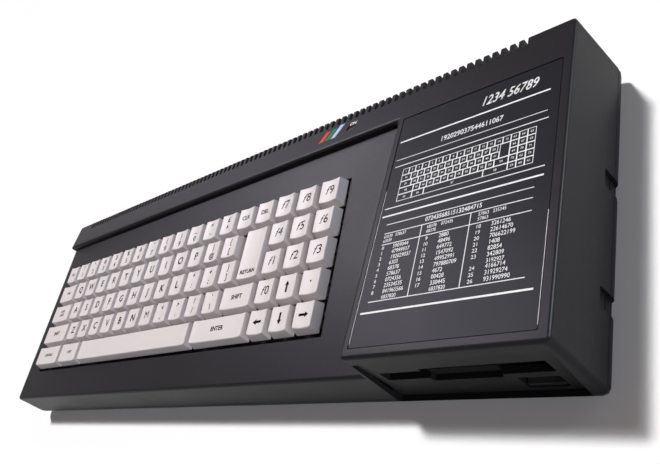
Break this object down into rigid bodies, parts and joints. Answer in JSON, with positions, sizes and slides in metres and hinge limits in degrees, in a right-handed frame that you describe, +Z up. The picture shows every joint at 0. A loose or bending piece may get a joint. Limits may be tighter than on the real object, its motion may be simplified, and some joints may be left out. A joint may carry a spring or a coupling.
{
  "type": "home computer",
  "caption": "Home computer with a full-size keyboard on a sloping deck, a ridge of air slots and a built-in three-inch disc drive, with inner parts.",
  "frame": {"origin": "centre of the case's footprint on the surface it stands on", "axes": "+X to the keyboard's right, +Y to the rear, +Z up"},
  "size_m": [0.5088, 0.1722, 0.0503],
  "materials": {
    "alloy": "machined",
    "base_plastic": "fine satin grain",
    "belt_rubber": "matt",
    "bezel_plastic": "fine satin grain",
    "board_green": "lacquered",
    "case_plastic": "fine satin grain",
    "foot_rubber": "matt",
    "frame_plastic": "moulded",
    "key_plastic": "satin, cylindrical dish",
    "label_film": "satin print",
    "lamp_lens": "glossy, translucent",
    "mat_rubber": "matt",
    "membrane_film": "glossy film",
    "plate_steel": "zinc plated",
    "socket_black": "moulded",
    "socket_steel": "bright plated",
    "switch_black": "moulded",
    "wheel_plastic": "knurled"
  },
  "bodies": {
    "case": {"case_screw_1": "alloy", "case_screw_2": "alloy", "case_screw_3": "alloy", "case_screw_4": "alloy", "drive_belt": "belt_rubber", "drive_bezel": "bezel_plastic", "drive_board": "board_green", "drive_chassis": "plate_steel", "headphone_jack": "socket_black", "joystick_port": "socket_steel", "keyboard_back_plate": "plate_steel", "keyboard_frame": "frame_plastic", "keyboard_membrane": "membrane_film", "label_plate": "label_film", "lower_case": "base_plastic", "main_board": "board_green", "monitor_socket": "socket_black", "power_lamp": "lamp_lens", "return_mat": "mat_rubber", "rubber_foot_front_left": "foot_rubber", "rubber_foot_front_right": "foot_rubber", "rubber_foot_rear_left": "foot_rubber", "rubber_foot_rear_right": "foot_rubber", "speaker": "plate_steel", "spindle_motor": "plate_steel", "stepper_motor": "plate_steel", "supply_lead_gland": "belt_rubber", "supply_socket": "socket_black", "tape_socket": "socket_black", "upper_case": "case_plastic"},
    "caps_lock_key": {"caps_lock_key": "key_plastic"},
    "clr_key": {"clr_key": "key_plastic"},
    "control_key": {"control_key": "key_plastic"},
    "copy_key": {"copy_key": "key_plastic"},
    "del_key": {"del_key": "key_plastic"},
    "down_arrow_key": {"down_arrow_key": "key_plastic"},
    "enter_key": {"enter_key": "key_plastic"},
    "esc_key": {"esc_key": "key_plastic"},
    "home_letter_keys": {"home_letter_keys": "key_plastic"},
    "keypad_keys": {"keypad_keys": "key_plastic"},
    "left_arrow_key": {"left_arrow_key": "key_plastic"},
    "left_shift_key": {"left_shift_key": "key_plastic"},
    "lower_letter_keys": {"lower_letter_keys": "key_plastic"},
    "number_keys": {"number_keys": "key_plastic"},
    "return_key": {"return_key": "key_plastic"},
    "right_arrow_key": {"right_arrow_key": "key_plastic"},
    "right_shift_key": {"right_shift_key": "key_plastic"},
    "space_bar": {"space_bar": "key_plastic"},
    "tab_key": {"tab_key": "key_plastic"},
    "up_arrow_key": {"up_arrow_key": "key_plastic"},
    "upper_letter_keys": {"upper_letter_keys": "key_plastic"},
    "drive_flap": {"drive_flap": "bezel_plastic"},
    "eject_button": {"eject_button": "bezel_plastic"},
    "power_switch_knob": {"power_switch_knob": "switch_black"},
    "volume_wheel": {"volume_wheel": "wheel_plastic"},
    "spindle_flywheel": {"spindle_flywheel": "alloy"},
    "motor_pulley": {"motor_pulley": "alloy"},
    "head_carriage": {"head_carriage": "alloy"},
    "lead_screw": {"lead_screw": "alloy"}
  },
  "joints": [
    {"name": "caps_lock_key_press", "type": "slide", "parent": "case", "child": "caps_lock_key", "axis": [0, 0.0924, -0.9957], "range_m": [0, 0.0035], "stiffness_N_per_m": 120, "springref_m": -0.003, "deforming": ["return_mat"]},
    {"name": "clr_key_press", "type": "slide", "parent": "case", "child": "clr_key", "axis": [0, 0.0924, -0.9957], "range_m": [0, 0.0035], "stiffness_N_per_m": 120, "springref_m": -0.003},
    {"name": "control_key_press", "type": "slide", "parent": "case", "child": "control_key", "axis": [0, 0.0924, -0.9957], "range_m": [0, 0.0035], "stiffness_N_per_m": 120, "springref_m": -0.003},
    {"name": "copy_key_press", "type": "slide", "parent": "case", "child": "copy_key", "axis": [0, 0.0924, -0.9957], "range_m": [0, 0.0035], "stiffness_N_per_m": 120, "springref_m": -0.003},
    {"name": "del_key_press", "type": "slide", "parent": "case", "child": "del_key", "axis": [0, 0.0924, -0.9957], "range_m": [0, 0.0035], "stiffness_N_per_m": 120, "springref_m": -0.003},
    {"name": "down_arrow_key_press", "type": "slide", "parent": "case", "child": "down_arrow_key", "axis": [0, 0.0924, -0.9957], "range_m": [0, 0.0035], "stiffness_N_per_m": 120, "springref_m": -0.003},
    {"name": "enter_key_press", "type": "slide", "parent": "case", "child": "enter_key", "axis": [0, 0.0924, -0.9957], "range_m": [0, 0.0035], "stiffness_N_per_m": 240, "springref_m": -0.003},
    {"name": "esc_key_press", "type": "slide", "parent": "case", "child": "esc_key", "axis": [0, 0.0924, -0.9957], "range_m": [0, 0.0035], "stiffness_N_per_m": 120, "springref_m": -0.003},
    {"name": "home_letter_keys_press", "type": "slide", "parent": "case", "child": "home_letter_keys", "axis": [0, 0.0924, -0.9957], "range_m": [0, 0.0035], "stiffness_N_per_m": 1440, "springref_m": -0.003},
    {"name": "keypad_keys_press", "type": "slide", "parent": "case", "child": "keypad_keys", "axis": [0, 0.0924, -0.9957], "range_m": [0, 0.0035], "stiffness_N_per_m": 1320, "springref_m": -0.003},
    {"name": "left_arrow_key_press", "type": "slide", "parent": "case", "child": "left_arrow_key", "axis": [0, 0.0924, -0.9957], "range_m": [0, 0.0035], "stiffness_N_per_m": 120, "springref_m": -0.003},
    {"name": "left_shift_key_press", "type": "slide", "parent": "case", "child": "left_shift_key", "axis": [0, 0.0924, -0.9957], "range_m": [0, 0.0035], "stiffness_N_per_m": 240, "springref_m": -0.003},
    {"name": "lower_letter_keys_press", "type": "slide", "parent": "case", "child": "lower_letter_keys", "axis": [0, 0.0924, -0.9957], "range_m": [0, 0.0035], "stiffness_N_per_m": 1320, "springref_m": -0.003},
    {"name": "number_keys_press", "type": "slide", "parent": "case", "child": "number_keys", "axis": [0, 0.0924, -0.9957], "range_m": [0, 0.0035], "stiffness_N_per_m": 1440, "springref_m": -0.003},
    {"name": "return_key_press", "type": "slide", "parent": "case", "child": "return_key", "axis": [0, 0.0924, -0.9957], "range_m": [0, 0.0035], "stiffness_N_per_m": 240, "springref_m": -0.003},
    {"name": "right_arrow_key_press", "type": "slide", "parent": "case", "child": "right_arrow_key", "axis": [0, 0.0924, -0.9957], "range_m": [0, 0.0035], "stiffness_N_per_m": 120, "springref_m": -0.003},
    {"name": "right_shift_key_press", "type": "slide", "parent": "case", "child": "right_shift_key", "axis": [0, 0.0924, -0.9957], "range_m": [0, 0.0035], "stiffness_N_per_m": 120, "springref_m": -0.003},
    {"name": "space_bar_press", "type": "slide", "parent": "case", "child": "space_bar", "axis": [0, 0.0924, -0.9957], "range_m": [0, 0.0035], "stiffness_N_per_m": 360, "springref_m": -0.003},
    {"name": "tab_key_press", "type": "slide", "parent": "case", "child": "tab_key", "axis": [0, 0.0924, -0.9957], "range_m": [0, 0.0035], "stiffness_N_per_m": 120, "springref_m": -0.003},
    {"name": "up_arrow_key_press", "type": "slide", "parent": "case", "child": "up_arrow_key", "axis": [0, 0.0924, -0.9957], "range_m": [0, 0.0035], "stiffness_N_per_m": 120, "springref_m": -0.003},
    {"name": "upper_letter_keys_press", "type": "slide", "parent": "case", "child": "upper_letter_keys", "axis": [0, 0.0924, -0.9957], "range_m": [0, 0.0035], "stiffness_N_per_m": 1440, "springref_m": -0.003},
    {"name": "drive_flap_hinge", "type": "hinge", "parent": "case", "child": "drive_flap", "pos_m": [0.1998, -0.07715, 0.036], "axis": [1, 0, 0], "range_deg": [0, 88], "stiffness_Nm_per_rad": 0.02, "springref_deg": -17.19},
    {"name": "eject_press", "type": "slide", "parent": "case", "child": "eject_button", "axis": [0, 1, 0], "range_m": [0, 0.004], "stiffness_N_per_m": 250, "springref_m": -0.003},
    {"name": "power_switch_slide", "type": "slide", "parent": "case", "child": "power_switch_knob", "axis": [1, 0, 0], "range_m": [0, 0.0045]},
    {"name": "volume_turn", "type": "hinge", "parent": "case", "child": "volume_wheel", "pos_m": [-0.24419, -0.03115, 0.0187], "axis": [0, 0, 1], "range_deg": [-135, 135]},
    {"name": "spindle_spin", "type": "hinge", "parent": "case", "child": "spindle_flywheel", "pos_m": [0.1998, -0.02515, 0.0095], "axis": [0, 0, 1], "continuous": true},
    {"name": "pulley_spin", "type": "hinge", "parent": "case", "child": "motor_pulley", "pos_m": [0.1723, 0.04585, 0.0095], "axis": [0, 0, 1], "continuous": true},
    {"name": "head_travel", "type": "slide", "parent": "case", "child": "head_carriage", "axis": [0, -1, 0], "range_m": [0, 0.02]},
    {"name": "lead_screw_turn", "type": "hinge", "parent": "case", "child": "lead_screw", "pos_m": [0.2128, -0.01815, 0.0215], "axis": [0, 1, 0], "range_deg": [-5, 1805]}
  ],
  "couplings": [
    {"joint": "pulley_spin", "follows": "spindle_spin", "ratio": 4},
    {"joint": "lead_screw_turn", "follows": "head_travel", "rad_per_m": 1570.8}
  ]
}
